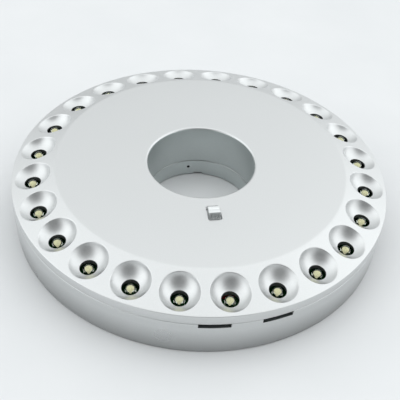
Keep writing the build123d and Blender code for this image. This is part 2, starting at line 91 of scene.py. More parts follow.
# Battery bays, one on each side, their doors' recesses and the AA cells in them
BAY_INNER = 32.0
BAY_OUTER = 62.5
BAY_HALF = 29.25
BAY_ROOF = 17.3
BAY_WALL = 1.5
BAY_CORNER = 0.5
DOOR_LEDGE = 1.0
DOOR_LAND = 3.4
NAIL_DEPTH = 2.4
NAIL_WIDTH = 14.0
NAIL_HEIGHT = 1.2
NAIL_CORNER = NAIL_DEPTH - 0.1
CELL_RADIUS = 7.25
CELL_LENGTH = 50.5
CELL_HEAD = 28.8
CELL_OFFSETS = {"inner": 39.85, "outer": 54.65}
CELL_HEIGHT = 9.65
CELL_STEPS = 48
SLEEVE_START = 0.75
SLEEVE_END = 49.05
# Outline of a cell from its flat end to its raised one, as (radius, run) points
CELL_PROFILE = [(0, 0.25), (5.6, 0.25), (6.1, 0), (6.7, 0.05), (7.05, 0.4), (7.1, 0.7)]
CELL_PROFILE += [(CELL_RADIUS, 0.8), (CELL_RADIUS, 48.7), (7.0, 49.1), (6.6, 49.2), (6.3, 49.0)]
CELL_PROFILE += [(5.9, 48.9), (3.2, 48.9), (2.75, 49.1), (2.75, 50.2), (2.5, CELL_LENGTH)]
CELL_PROFILE += [(0, CELL_LENGTH)]

# Pockets of the two folding hooks
POCKET_INNER = 34.0
POCKET_OUTER = 74.0
POCKET_HALF = 10.0
POCKET_TOP = 5.8
POCKET_WALL = 1.6
POCKET_CORNER = 0.8

# Screws, the wells they are driven up through, and the bosses round the wells
SCREW_PLACES = [(x, y) for x in (31.01, -31.01) for y in (53.71, -53.71)]
SCREW_WELL_RADIUS = 3.3
SCREW_SEAT = 8.0
SCREW_BOSS = 9.6
SCREW_BOSS_TOP = 12.0
SCREW_BOSS_CORNER = 1.0
SCREW_SHANK_HOLE = 1.5
SCREW_STEPS = 32
# Outline of a pan head and its shank, from below upwards, as (radius, height) points
SCREW_PROFILE = [(0, 6.0), (1.7, 6.05), (2.4, 6.35), (2.75, 6.9), (2.8, SCREW_SEAT)]
SCREW_PROFILE += [(1.3, SCREW_SEAT), (1.3, 20.4), (0, 21)]
CROSS_REACH = 1.6
CROSS_HALF = 0.35
CROSS_BOTTOM = 5.0
CROSS_TOP = 7.2

# The small hole in the collar round the bore, and the notch in its foot (depth, width, height)
VENT_ANGLE = 93.4
VENT_HEIGHT = 5.6
VENT_RADIUS = 0.8
VENT_STEPS = 16
VENT_OVERCUT = 1.0
NOTCH_ANGLE = 81.7
NOTCH_SIZE = (2.6, 5.0, 1.4)

# Diodes, the bowl-shaped wells they stand in, and the board below
LED_COUNT = 24
FIRST_LED_ANGLE = -90.0
LED_RADIUS = 2.5
LED_FLANGE_RADIUS = 2.9
LED_FLANGE_HEIGHT = 1.0
LED_STEPS = 32
WELL_RADIUS = 84.4
WELL_RIM_RADIUS = 9.3
WELL_RIM_ROUND = 0.6
WELL_RIM_STEPS = 4
BOWL_RADIUS = 11.07
BOWL_STEPS = 12
HOLE_RING_RADIUS = 84.7
HOLE_RADIUS = 4.08
HOLE_EDGE = 0.3
WEB_BOTTOM = 22.4
BOARD_INNER_RADIUS = 75.6
# Rows of the slope's mesh, from the edge of a well's sector (1) towards the rim of the well (0)
SLOPE_ROWS = (1.0, 0.75, 0.5, 0.28, 0.12)
# Outline of a drop of phosphor, as (radius, height over the chip's seat) points
DROP_PROFILE = [(0, 0), (0.2, 0.1), (0.7, 0.9), (1.25, 1.65), (0.6, 2.4), (0.2, 3.1), (0, 3.7)]

# The two slots under the rim, and the switch's window and knob in the disc
SLOT_ANGLES = (-94.9, -77.6)
SLOT_LENGTH = 14.5
SLOT_HEIGHT = 2.3
SLOT_REACH = 6.0
SWITCH_RADIUS = 38.6
WINDOW_WIDTH = 6.8
WINDOW_LENGTH = 10.0
WINDOW_CORNER = 1.2
KNOB_WIDTH = 5.4
KNOB_LENGTH = 4.7
KNOB_ROUND = 0.5
KNOB_EDGE = 0.15
KNOB_GROOVE_WIDTH = 1.3
KNOB_GROOVE_DEPTH = 0.16
KNOB_GROOVE_STEPS = 8
KNOB_GRIPS = (-1.6, 0.0, 1.6)
GRIP_WIDTH = 1.0
GRIP_DEPTH = 0.8
GRIP_CORNER = 0.1
GRIP_OVER_FOOT = 1.2
GRIP_UNDER_TOP = 0.9

# The ground, which is open under the lamp, so that light reaches the doors and hooks below
GROUND_GAP = 0.15
GROUND_RINGS = ((0, BORE_OUTER), (93.2, 400, 6000))

# The light tent: how bright its foot and top are, and how much its two sides add. A dim patch lies
# on the -Y side. It has its full depth, DIM_SHARE, up to DIM_CORE degrees from its middle, and
# ends at DIM_EDGE degrees.
TENT_COLOUR = "F3F6F7"
TENT_FOOT = 0.52
TENT_TOP = 1.4
TENT_SIDES = 1.15
DIM_SIDE = (-0.1, -1.0, 0.72)
DIM_CORE = 14
DIM_EDGE = 52
DIM_SHARE = 0.18
# A softbox overhead, in metres and watts
SOFTBOX_SIZE = 2.0
SOFTBOX_POWER = 8.0
SOFTBOX_PLACE = (0, -0.4, 1.5)

# The photograph's viewpoint, from the fit of the outline, the bore and the wells
CAMERA_RIGHT = (0.98663, -0.15253, 0.05739)
CAMERA_BACK = (-0.15094, -0.72250, 0.6747)
CAMERA_PLACE = (-59.7, -289.9, 275.6)
CAMERA_LENS = 67.83
CAMERA_SENSOR = 36.0
CAMERA_CLIP = (0.01, 50.0)  # in metres

RIM_SLOPE = math.atan2(RIM_DROP, OUTER_RADIUS - DISC_RADIUS)
SECTOR = 2 * math.pi / LED_COUNT
SIDE_STEPS = 12  # mesh steps along each of the four sides of a well's sector
LATHE_STEPS = LED_COUNT * SIDE_STEPS
SHARP_DEGREES = 30


def rim_height(radius):
    """Height of the sloping rim at a distance from the axis."""
    return HEIGHT - (radius - DISC_RADIUS) * math.tan(RIM_SLOPE)


# Colours and materials


def linear(code, alpha=1.0):
    """A hex sRGB colour as linear red, green, blue and alpha."""
    shares = [int(code[i : i + 2], 16) / 255 for i in (0, 2, 4)]
    return [s / 12.92 if s <= 0.04045 else ((s + 0.055) / 1.055) ** 2.4 for s in shares] + [alpha]


def add_node(tree, kind, settings=None, links=None):
    """Add a node, give it its settings and link its inputs, each by its name or its number."""
    node = tree.nodes.new(kind)
    for name, value in (settings or {}).items():
        if isinstance(name, int) or name in node.inputs:
            node.inputs[name].default_value = value
        else:
            setattr(node, name, value)
    for name, source in (links or {}).items():
        tree.links.new(source, node.inputs[name])
    return node


def new_material(name):
    """An empty node material, its tree and its object coordinates."""
    material = bpy.data.materials.new(name)
    material.use_nodes = True
    tree = material.node_tree
    tree.nodes.clear()
    place = add_node(tree, "ShaderNodeTexCoord").outputs["Object"]
    return material, tree, place


def close_material(tree, shader):
    """Link a shader to the material's output."""
    add_node(tree, "ShaderNodeOutputMaterial", links={"Surface": shader.outputs[0]})


def two_tones(tree, factor, dark, light):
    """A colour that runs from dark to light with a factor."""
    ramp = add_node(tree, "ShaderNodeValToRGB", links={"Fac": factor})
    ramp.color_ramp.elements[0].color = linear(dark)
    ramp.color_ramp.elements[1].color = linear(light)
    return ramp.outputs["Color"]


def silver_paint_on_abs(name, dark, light, grain_mm, roughness, foot_shade_share=1.0):
    """Satin silver paint sprayed on moulded ABS: a cool metallic sheen with a faint, flaky grain.

    Real flakes are about 0.03 mm across. They are drawn at grain_mm, so that some grain shows.
    The colour is darkened from the full height down to the foot, as painted shade for the shade
    low on the wall: the last argument says how much of its brightness is left there.
    """
    material, tree, place = new_material(name)
    flakes = add_node(
        tree,
        "ShaderNodeTexNoise",
        {"Scale": 1 / (grain_mm * MM), "Detail": 3.0, "Roughness": 0.6},
        {"Vector": place},
    )
    clouds = add_node(
        tree, "ShaderNodeTexNoise", {"Scale": 1 / (35 * MM), "Detail": 1.0}, {"Vector": place}
    )
    matte = add_node(
        tree,
        "ShaderNodeMapRange",
        {"From Min": 0.3, "From Max": 0.7, "To Min": roughness - 0.03, "To Max": roughness + 0.04},
        {"Value": clouds.outputs["Fac"]},
    )
    bump = add_node(
        tree,
        "ShaderNodeBump",
        {"Strength": 0.08, "Distance": 0.05 * MM},
        {"Height": flakes.outputs["Fac"]},
    )
    # Painted shade: the colour is scaled down with height, from full at the full height to the
    # share at the foot
    height = add_node(tree, "ShaderNodeSeparateXYZ", links={"Vector": place}).outputs["Z"]
    cover = add_node(
        tree,
        "ShaderNodeMapRange",
        {"From Min": 0.0, "From Max": FOOT_SHADE_HEIGHT * MM, "To Min": foot_shade_share, "To Max": 1.0},
        {"Value": height},
    )
    colour = two_tones(tree, flakes.outputs["Fac"], dark, light)
    coat = add_node(
        tree,
        "ShaderNodeVectorMath",
        {"operation": "SCALE"},
        {"Vector": colour, "Scale": cover.outputs["Result"]},
    )
    paint = add_node(
        tree,
        "ShaderNodeBsdfPrincipled",
        {"Metallic": 0.8, "IOR": 1.5},
        {
            "Base Color": coat.outputs["Vector"],
            "Roughness": matte.outputs["Result"],
            "Normal": bump.outputs["Normal"],
        },
    )
    close_material(tree, paint)
    return material


def moulded_abs(name, dark, light, roughness):
    """Bare ABS from a spark-eroded mould: an even colour with a fine matte grain."""
    material, tree, place = new_material(name)
    grain = add_node(
        tree, "ShaderNodeTexNoise", {"Scale": 1 / (0.4 * MM), "Detail": 2.0}, {"Vector": place}
    )
    bump = add_node(
        tree,
        "ShaderNodeBump",
        {"Strength": 0.15, "Distance": 0.05 * MM},
        {"Height": grain.outputs["Fac"]},
    )
    colour = two_tones(tree, grain.outputs["Fac"], dark, light)
    plastic = add_node(
        tree,
        "ShaderNodeBsdfPrincipled",
        {"Roughness": roughness, "IOR": 1.53},
        {"Base Color": colour, "Normal": bump.outputs["Normal"]},
    )
    close_material(tree, plastic)
    return material


def clear_cast_epoxy():
    """Water-clear epoxy cast in a polished cup: a glassy dome that bends what lies inside it."""
    material, tree, place = new_material("clear_cast_epoxy")
    waves = add_node(tree, "ShaderNodeTexNoise", {"Scale": 1 / (3 * MM)}, {"Vector": place})
    bump = add_node(
        tree,
        "ShaderNodeBump",
        {"Strength": 0.05, "Distance": 0.05 * MM},
        {"Height": waves.outputs["Fac"]},
    )
    epoxy = add_node(
        tree,
        "ShaderNodeBsdfPrincipled",
        {
            "Base Color": linear("C3C9BF"),
            "Roughness": 0.06,
            "IOR": 1.5,
            "Specular IOR Level": 0.35,
            "Transmission Weight": 1.0,
        },
        {"Normal": bump.outputs["Normal"]},
    )
    close_material(tree, epoxy)
    return material


def yellow_phosphor_with_painted_glow():
    """Phosphor powder set in silicone over the chip: a matte lemon yellow with fine mottling."""
    material, tree, place = new_material("yellow_phosphor_with_painted_glow")
    powder = add_node(
        tree, "ShaderNodeTexNoise", {"Scale": 1 / (0.3 * MM), "Detail": 3.0}, {"Vector": place}
    )
    colour = two_tones(tree, powder.outputs["Fac"], "E4DCA0", "F6F0C6")
    # Painted light: the emission makes the phosphor glow faintly, though the diode is not lit
    silicone = add_node(
        tree,
        "ShaderNodeBsdfPrincipled",
        {"Roughness": 0.5, "Emission Color": linear("EEEAC8"), "Emission Strength": 0.6},
        {"Base Color": colour},
    )
    close_material(tree, silicone)
    return material


def plated_metal(name, dark, light, roughness, streak_mm):
    """Rolled and plated metal: a clear sheen broken by fine drawn streaks."""
    material, tree, place = new_material(name)
    stretched = add_node(tree, "ShaderNodeMapping", {"Scale": (1.0, 1.0, 0.15)}, {"Vector": place})
    streaks = add_node(
        tree,
        "ShaderNodeTexNoise",
        {"Scale": 1 / (streak_mm * MM), "Detail": 4.0},
        {"Vector": stretched.outputs["Vector"]},
    )
    matte = add_node(
        tree,
        "ShaderNodeMapRange",
        {"To Min": roughness - 0.06, "To Max": roughness + 0.08},
        {"Value": streaks.outputs["Fac"]},
    )
    colour = two_tones(tree, streaks.outputs["Fac"], dark, light)
    metal = add_node(
        tree,
        "ShaderNodeBsdfPrincipled",
        {"Metallic": 1.0},
        {"Base Color": colour, "Roughness": matte.outputs["Result"]},
    )
    close_material(tree, metal)
    return material


def solder_mask_on_laminate():
    """Glass laminate under green solder mask: glossy green over a faint 0.8 mm weave."""
    material, tree, place = new_material("solder_mask_on_laminate")
    weave = add_node(tree, "ShaderNodeTexChecker", {"Scale": 1 / (0.8 * MM)}, {"Vector": place})
    bump = add_node(
        tree,
        "ShaderNodeBump",
        {"Strength": 0.1, "Distance": 0.03 * MM},
        {"Height": weave.outputs["Fac"]},
    )
    colour = two_tones(tree, weave.outputs["Fac"], "0E4A22", "14592B")
    mask = add_node(
        tree,
        "ShaderNodeBsdfPrincipled",
        {"Roughness": 0.28, "IOR": 1.5},
        {"Base Color": colour, "Normal": bump.outputs["Normal"]},
    )
    close_material(tree, mask)
    return material


def shrink_wrap_on_steel():
    """A steel can in plain heat-shrunk PVC: a smooth dark sleeve with a low, even gloss."""
    material, tree, place = new_material("shrink_wrap_on_steel")
    ripples = add_node(
        tree, "ShaderNodeTexNoise", {"Scale": 1 / (6 * MM), "Detail": 2.0}, {"Vector": place}
    )
    bump = add_node(
        tree,
        "ShaderNodeBump",
        {"Strength": 0.12, "Distance": 0.1 * MM},
        {"Height": ripples.outputs["Fac"]},
    )
    colour = two_tones(tree, ripples.outputs["Fac"], "2B3136", "3A4147")
    sleeve = add_node(
        tree,
        "ShaderNodeBsdfPrincipled",
        {"Roughness": 0.3, "IOR": 1.53},
        {"Base Color": colour, "Normal": bump.outputs["Normal"]},
    )
    close_material(tree, sleeve)
    return material


def soft_pvc_cover():
    """Extruded soft PVC round the wires: red, slightly waxy, with faint lines along it."""
    material, tree, place = new_material("soft_pvc_cover")
    lines = add_node(tree, "ShaderNodeTexNoise", {"Scale": 1 / (1.2 * MM)}, {"Vector": place})
    cover = add_node(
        tree,
        "ShaderNodeBsdfPrincipled",
        {"Roughness": 0.45, "IOR": 1.53},
        {"Base Color": two_tones(tree, lines.outputs["Fac"], "7E1C18", "96241F")},
    )
    close_material(tree, cover)
    return material


def pressed_paper():
    """The ground under the lamp: matte white paper, faintly uneven, clear from below."""
    material, tree, place = new_material("pressed_paper")
    unevenness = add_node(
        tree, "ShaderNodeTexNoise", {"Scale": 1 / (60 * MM), "Detail": 4.0}, {"Vector": place}
    )
    paper = add_node(
        tree,
        "ShaderNodeBsdfPrincipled",
        {"Roughness": 0.9, "Specular IOR Level": 0.2},
        {"Base Color": two_tones(tree, unevenness.outputs["Fac"], "D2D4D5", "DBDCDD")},
    )
    from_below = add_node(tree, "ShaderNodeNewGeometry").outputs["Backfacing"]
    clear = add_node(tree, "ShaderNodeBsdfTransparent")
    sheet = add_node(
        tree,
        "ShaderNodeMixShader",
        links={"Fac": from_below, 1: paper.outputs["BSDF"], 2: clear.outputs["BSDF"]},
    )
    close_material(tree, sheet)
    return material


SILVER_TOP = silver_paint_on_abs(
    "silver_paint_on_top_shell", "CDCFCF", "D9DADA", grain_mm=0.5, roughness=0.32
)
# The bottom shell's paint, also on the doors and hooks, darkens towards the foot as painted shade
SILVER_BASE = silver_paint_on_abs(
    "silver_paint_on_bottom_shell", "C8CACA", "D2D4D4", grain_mm=0.5, roughness=0.3, foot_shade_share=0.58
)
# Painted shade: a darker, greener copy of the silver paint for the bore's walls, which lie in shade
SHADED_BORE_PAINT = silver_paint_on_abs(
    "silver_paint_with_painted_bore_shade", "BEC4C4", "CAD0CF", grain_mm=0.5, roughness=0.36
)
KNOB_PAINT = silver_paint_on_abs(
    "silver_paint_on_switch_knob", "E2E4E4", "EAECEC", grain_mm=0.4, roughness=0.34
)
BLACK_ABS = moulded_abs("black_moulded_abs", "0C0C0D", "161617", roughness=0.45)
BARE_ABS = moulded_abs("bare_grey_moulded_abs", "3A3E40", "464A4A", roughness=0.5)
CLEAR_EPOXY = clear_cast_epoxy()
PHOSPHOR = yellow_phosphor_with_painted_glow()
ZINC_PLATE = plated_metal("zinc_plated_steel", "A9A9A6", "C9C9C6", roughness=0.3, streak_mm=0.5)
NICKEL_PLATE = plated_metal(
    "nickel_plated_strip", "B4AEA2", "D2CDC2", roughness=0.22, streak_mm=0.8
)
SOLDER_MASK = solder_mask_on_laminate()
CERAMIC = moulded_abs("glazed_chip_ceramic", "1A1715", "26211E", roughness=0.35)
SHRINK_WRAP = shrink_wrap_on_steel()
PVC_COVER = soft_pvc_cover()


# Meshes


def new_object(name, mesh, material):
    """Turn a bmesh into an object of one material."""
    data = bpy.data.meshes.new(name)
    mesh.to_mesh(data)
    mesh.free()
    data.materials.append(material)
    made = bpy.data.objects.new(name, data)
    bpy.context.scene.collection.objects.link(made)
    return made


def new_piece(name, mesh, material, body="housing"):
    """Turn a bmesh into a smooth-shaded object of one material that rides on a body."""
    bmesh.ops.remove_doubles(mesh, verts=mesh.verts, dist=MERGE_DISTANCE)
    bmesh.ops.recalc_face_normals(mesh, faces=mesh.faces)
    piece = new_object(name, mesh, material)
    piece.data.shade_smooth()
    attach(piece, body)
    return piece


def sharpen(piece):
    """Keep edges crisp where faces meet at more than SHARP_DEGREES."""
    mesh = bmesh.new()
    mesh.from_mesh(piece.data)
    for edge in mesh.edges:
        edge.smooth = edge.calc_face_angle(0.0) < math.radians(SHARP_DEGREES)
    mesh.to_mesh(piece.data)
    mesh.free()


def round_edges(piece, width, degrees=SHARP_DEGREES):
    """Round the sharp edges of a piece by a width in millimetres."""
    bevel = piece.modifiers.new("rounded_edges", "BEVEL")
    bevel.width = width * MM
    bevel.segments = 3
    bevel.limit_method = "ANGLE"
    bevel.angle_limit = math.radians(degrees)
    bevel.harden_normals = True


def arc(centre, radius, start, end, steps):
    """Points of a profile along an arc, angles in degrees."""
    angles = [math.radians(start + (end - start) * i / steps) for i in range(steps + 1)]
    return [(centre[0] + radius * math.cos(a), centre[1] + radius * math.sin(a)) for a in angles]


def bridge(mesh, lower, upper):
    """Join two closed rows of vertices of equal length by quads."""
    for i in range(len(lower)):
        j = (i + 1) % len(lower)
        mesh.faces.new([lower[i], lower[j], upper[j], upper[i]])


def join_ends(mesh, ends):
    """Make a closed body between two rows of vertices."""
    bridge(mesh, *ends)
    for end in ends:
        mesh.faces.new(end)


def lathe(mesh, profile, steps=LATHE_STEPS, place=Matrix.Identity(4), closed=False):
    """Turn a profile of (radius, height) points round an axis, which place puts in the lamp."""
    start = math.radians(FIRST_LED_ANGLE) - SECTOR / 2
    rings = []
    for radius, height in profile:
        angles = [start + 2 * math.pi * i / steps for i in range(steps)]
        row = [place @ Vector((radius * math.cos(a), radius * math.sin(a), height)) for a in angles]
        rings.append([mesh.verts.new(point * MM) for point in row])
    for lower, upper in zip(rings, rings[1:]):
        bridge(mesh, lower, upper)
    if closed:
        bridge(mesh, rings[-1], rings[0])


def sector_edge(inner, outer):
    """Plan points round one sector: out one side, round the outside, in, and along the inside."""
    half = SECTOR / 2
    shares = [i / SIDE_STEPS for i in range(SIDE_STEPS)]
    polar = [(inner + (outer - inner) * s, -half) for s in shares]
    polar += [(outer, -half + 2 * half * s) for s in shares]
    polar += [(outer + (inner - outer) * s, half) for s in shares]
    polar += [(inner, half - 2 * half * s) for s in shares]
    return [Vector((r * math.cos(a), r * math.sin(a), 0)) for r, a in polar]


def ring_angles():
    """Angles round a well that match the points of its sector's edge."""
    first = -3 * math.pi / 4
    return [first + 2 * math.pi * i / (4 * SIDE_STEPS) for i in range(4 * SIDE_STEPS)]


def add_rows(mesh, rows, turn):
    """Add closed rows of points of the first sector, turned by radians, and join them by quads."""
    spin = Matrix.Rotation(turn, 4, "Z")
    made = [[mesh.verts.new(spin @ (p * MM)) for p in row] for row in rows]
    for lower, upper in zip(made, made[1:]):
        bridge(mesh, lower, upper)


def well_rows(inner, outer):
    """Rows of points from a sector's edge over the slope, round the rim and down the bowl.

    The points of the bowl's last row are given a second time, as the edge of the hole.
    """
    slope_x = Vector((math.cos(RIM_SLOPE), 0, -math.sin(RIM_SLOPE)))
    slope_z = Vector((math.sin(RIM_SLOPE), 0, math.cos(RIM_SLOPE)))
    middle = Vector((WELL_RADIUS, 0, rim_height(WELL_RADIUS)))
    bowl_centre = middle + slope_z * math.sqrt(BOWL_RADIUS**2 - WELL_RIM_RADIUS**2)
    steepness = math.asin(WELL_RIM_RADIUS / BOWL_RADIUS)
    angles = ring_angles()

    def on_slope(point):
        return Vector((point.x, point.y, rim_height(math.hypot(point.x, point.y))))

    def tilted(reach, lift):
        """A circle round the well that lies parallel to the slope."""
        return [
            middle
            + slope_x * (reach * math.cos(a))
            + Vector((0, reach * math.sin(a), 0))
            + slope_z * lift
            for a in angles
        ]

    reach = WELL_RIM_RADIUS + WELL_RIM_ROUND * math.tan(steepness / 2)
    lip = [on_slope(p) for p in tilted(reach, 0)]
    edge = sector_edge(inner, outer)
    rows = [
        [on_slope(a.lerp(Vector((b.x, b.y, 0)), 1 - share)) for a, b in zip(edge, lip)]
        for share in SLOPE_ROWS
    ]
    rows.append(lip)
    # The rim starts on the curved slope and settles into the bowl's flat circle
    for i in range(1, WELL_RIM_STEPS):
        turn = steepness * i / WELL_RIM_STEPS
        inset = WELL_RIM_ROUND * math.sin(turn)
        drop = WELL_RIM_ROUND * (1 - math.cos(turn))
        settle = 1 - i / WELL_RIM_STEPS
        row = tilted(reach - inset, -drop)
        rows.append([p + Vector((0, 0, (on_slope(p).z - p.z - drop) * settle)) for p in row])
    inset = WELL_RIM_ROUND * math.sin(steepness)
    drop = WELL_RIM_ROUND * (1 - math.cos(steepness))
    top = tilted(reach - inset, -drop)
    hole = []
    for a in angles:
        x = HOLE_RING_RADIUS + HOLE_RADIUS * math.cos(a)
        y = HOLE_RADIUS * math.sin(a)
        off_axis = (x - bowl_centre.x) ** 2 + y**2
        hole.append(Vector((x, y, bowl_centre.z - math.sqrt(BOWL_RADIUS**2 - off_axis))))
    for i in range(BOWL_STEPS + 1):
        row = []
        for a, b in zip(top, hole):
            way = (a - bowl_centre).lerp(b - bowl_centre, i / BOWL_STEPS).normalized()
            row.append(bowl_centre + way * BOWL_RADIUS)
        rows.append(row)
    return rows, hole


def web_rows(inner, outer, hole):
    """Rows of points from the hole down through the web and out over its underside to the edge."""
    return [
        [Vector((p.x, p.y, p.z - HOLE_EDGE)) for p in hole],
        [Vector((p.x, p.y, WEB_BOTTOM)) for p in hole],
        [Vector((p.x, p.y, WEB_BOTTOM)) for p in sector_edge(inner, outer)],
    ]


def block(mesh, outline, bottom, top, turn=0):
    """Add a closed upright block on an outline in plan, turned round the lamp's axis by degrees."""
    spin = Matrix.Rotation(math.radians(turn), 4, "Z")
    ends = [
        [mesh.verts.new(spin @ Vector((x, y, height)) * MM) for x, y in outline]
        for height in (bottom, top)
    ]
    join_ends(mesh, ends)


def oblong(centre, width, length, corner=0.2):
    """Plan outline of an oblong with rounded corners."""
    outline = []
    for x_side, y_side, start in ((1, 1, 0), (-1, 1, 90), (-1, -1, 180), (1, -1, 270)):
        x = centre[0] + x_side * (width / 2 - corner)
        y = centre[1] + y_side * (length / 2 - corner)
        outline += arc((x, y), corner, start, start + 90, steps=3)
    return outline


def disc(centre, radius):
    """Plan outline of a circle."""
    steps = 32
    return arc(centre, radius, 0, 360 * (steps - 1) / steps, steps - 1)


def slot_blocks(mesh, radius, depth, bottom, top):
    """Add the blocks that make room for the two slots under the rim."""
    for angle in SLOT_ANGLES:
        block(mesh, oblong((radius, 0), depth, SLOT_LENGTH), bottom, top, angle)


def combine(piece, tool_mesh, operation):
    """Cut a closed mesh out of a piece, or join it on, exactly."""
    cutter = new_piece("tool", tool_mesh, BARE_ABS)
    modifier = piece.modifiers.new("combine", "BOOLEAN")
    modifier.operation = operation
    modifier.solver = "EXACT"
    modifier.object = cutter
    graph = bpy.context.evaluated_depsgraph_get()
    shape = bpy.data.meshes.new_from_object(piece.evaluated_get(graph))
    piece.modifiers.clear()
    old = piece.data
    piece.data = shape
    bpy.data.meshes.remove(old)
    bpy.data.objects.remove(cutter)


def paint_shell(piece, paint, is_inside):
    """Paint a shell: a darker copy in the bore as painted shade, and bare plastic inside."""
    piece.data.materials.clear()
    for material in (paint, SHADED_BORE_PAINT, BARE_ABS):
        piece.data.materials.append(material)
    for face in piece.data.polygons:
        middle = face.center / MM
        radius = math.hypot(middle.x, middle.y)
        if is_inside(radius, middle.z, face.normal.z):
            face.material_index = 2
        # Painted shade: the bore's upright faces get the darker copy of the paint
        elif radius < BORE_SHADE_END and abs(face.normal.z) < UPRIGHT:
            face.material_index = 1
        else:
            face.material_index = 0


def make_top_shell():
    """Disc, sloping rim with its wells, lip and bore sleeve, in one closed skin."""
    mesh = bmesh.new()
    crease = CREASE_ROUND * math.tan(RIM_SLOPE / 2)
    slope_start = DISC_RADIUS + crease * math.cos(RIM_SLOPE)
    edge_turn = math.pi / 2 - RIM_SLOPE
    edge_reach = RIM_ROUND * math.tan(edge_turn / 2)
    slope_end = OUTER_RADIUS - edge_reach * math.cos(RIM_SLOPE)
    rows, hole = well_rows(slope_start, slope_end)
    rows += web_rows(BOARD_INNER_RADIUS, LIP_INNER, hole)
    for i in range(LED_COUNT):
        add_rows(mesh, rows, math.radians(FIRST_LED_ANGLE) + i * SECTOR)

    # From the foot of the slope down the edge, and round the lip to the web between the wells
    slope_degrees = math.degrees(RIM_SLOPE)
    edge_centre = (OUTER_RADIUS - RIM_ROUND, rim_height(OUTER_RADIUS) - edge_reach)
    parting_centre = (OUTER_RADIUS - PARTING_ROUND, PARTING_HEIGHT + PARTING_ROUND)
    outer = arc(edge_centre, RIM_ROUND, 90 - slope_degrees, 0, steps=5)
    outer += arc(parting_centre, PARTING_ROUND, 0, -90, steps=3)
    outer += [
        (LIP_OUTER, PARTING_HEIGHT),
        (LIP_OUTER, PARTING_HEIGHT - LIP_DEPTH),
        (LIP_INNER, PARTING_HEIGHT - LIP_DEPTH),
        (LIP_INNER, WEB_BOTTOM),
    ]
    lathe(mesh, outer)

    # From the web in under the ceiling, down and up the sleeve, and out over the disc
    ceiling = HEIGHT - WALL
    seam_centre = (BORE_RADIUS + SEAM_ROUND, SEAM_HEIGHT + SEAM_ROUND)
    bore_centre = (BORE_RADIUS + BORE_ROUND, HEIGHT - BORE_ROUND)
    crease_centre = (DISC_RADIUS - crease, HEIGHT - CREASE_ROUND)
    inner = [
        (BOARD_INNER_RADIUS, WEB_BOTTOM),
        (DISC_RADIUS - WALL, ceiling),
        (BORE_OUTER, ceiling),
        (BORE_OUTER, SEAM_HEIGHT),
    ]
    inner += arc(seam_centre, SEAM_ROUND, 270, 180, steps=3)
    inner += arc(bore_centre, BORE_ROUND, 180, 90, steps=6)
    inner += [(SWITCH_RADIUS - WINDOW_LENGTH, HEIGHT), (SWITCH_RADIUS + WINDOW_LENGTH, HEIGHT)]
    inner += arc(crease_centre, CREASE_ROUND, 90, 90 - slope_degrees, steps=4)
    lathe(mesh, inner)
    shell = new_piece("top_shell_skin", mesh, SILVER_TOP)

    openings = bmesh.new()
    window = oblong((0, -SWITCH_RADIUS), WINDOW_WIDTH, WINDOW_LENGTH, WINDOW_CORNER)
    block(openings, window, HEIGHT - 2 * WALL, HEIGHT + WALL)
    slot_blocks(openings, LIP_INNER, LIP_OPENING, PARTING_HEIGHT - 2 * LIP_DEPTH, PARTING_HEIGHT)
    combine(shell, openings, "DIFFERENCE")
    sharpen(shell)

    # The diode holes' walls fall in this mask too; their dark bare plastic is painted shade.
    def is_inside(radius, height, facing):
        under_roof = height < ceiling + PAINT_MARGIN and facing < UPWARD
        return BARE_START < radius < TOP_BARE_END and under_roof

    paint_shell(shell, SILVER_TOP, is_inside)
    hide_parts("top_shell")


def wall_radius(height):
    """Outside radius of the side wall, which draws in towards its foot."""
    return OUTER_RADIUS - WALL_SAG * (1 - height / PARTING_HEIGHT) ** WALL_SAG_POWER


def dish_profile():
    """Outline of the lower shell's dish: down the side wall, in under the floor, up the collar."""
    edge = PARTING_HEIGHT - PARTING_ROUND
    heights = [edge + (WALL_END - edge) * i / WALL_STEPS for i in range(1, WALL_STEPS + 1)]
    lean = math.atan((wall_radius(WALL_END) - wall_radius(0)) / WALL_END)
    lean_degrees = math.degrees(lean)
    inset = BASE_ROUND * math.cos(math.radians(lean_degrees))
    foot_centre = (wall_radius(WALL_END) - inset, BASE_ROUND)
    seam_centre = (BORE_RADIUS + SEAM_ROUND, SEAM_HEIGHT - SEAM_ROUND)
    profile = [(OUTER_RADIUS - WALL, PARTING_HEIGHT)]
    profile += arc((wall_radius(edge) - PARTING_ROUND, edge), PARTING_ROUND, 90, 0, steps=3)
    profile += [(wall_radius(height), height) for height in heights]
    profile += arc(foot_centre, BASE_ROUND, -lean_degrees, -90, steps=5)[1:]
    profile += [(BORE_RADIUS + BORE_FOOT, 0), (BORE_RADIUS, BORE_FOOT)]
    profile += arc(seam_centre, SEAM_ROUND, 180, 90, steps=3)
    profile += [(BORE_OUTER, SEAM_HEIGHT), (BORE_OUTER, WALL), (OUTER_RADIUS - WALL, WALL)]
    return profile


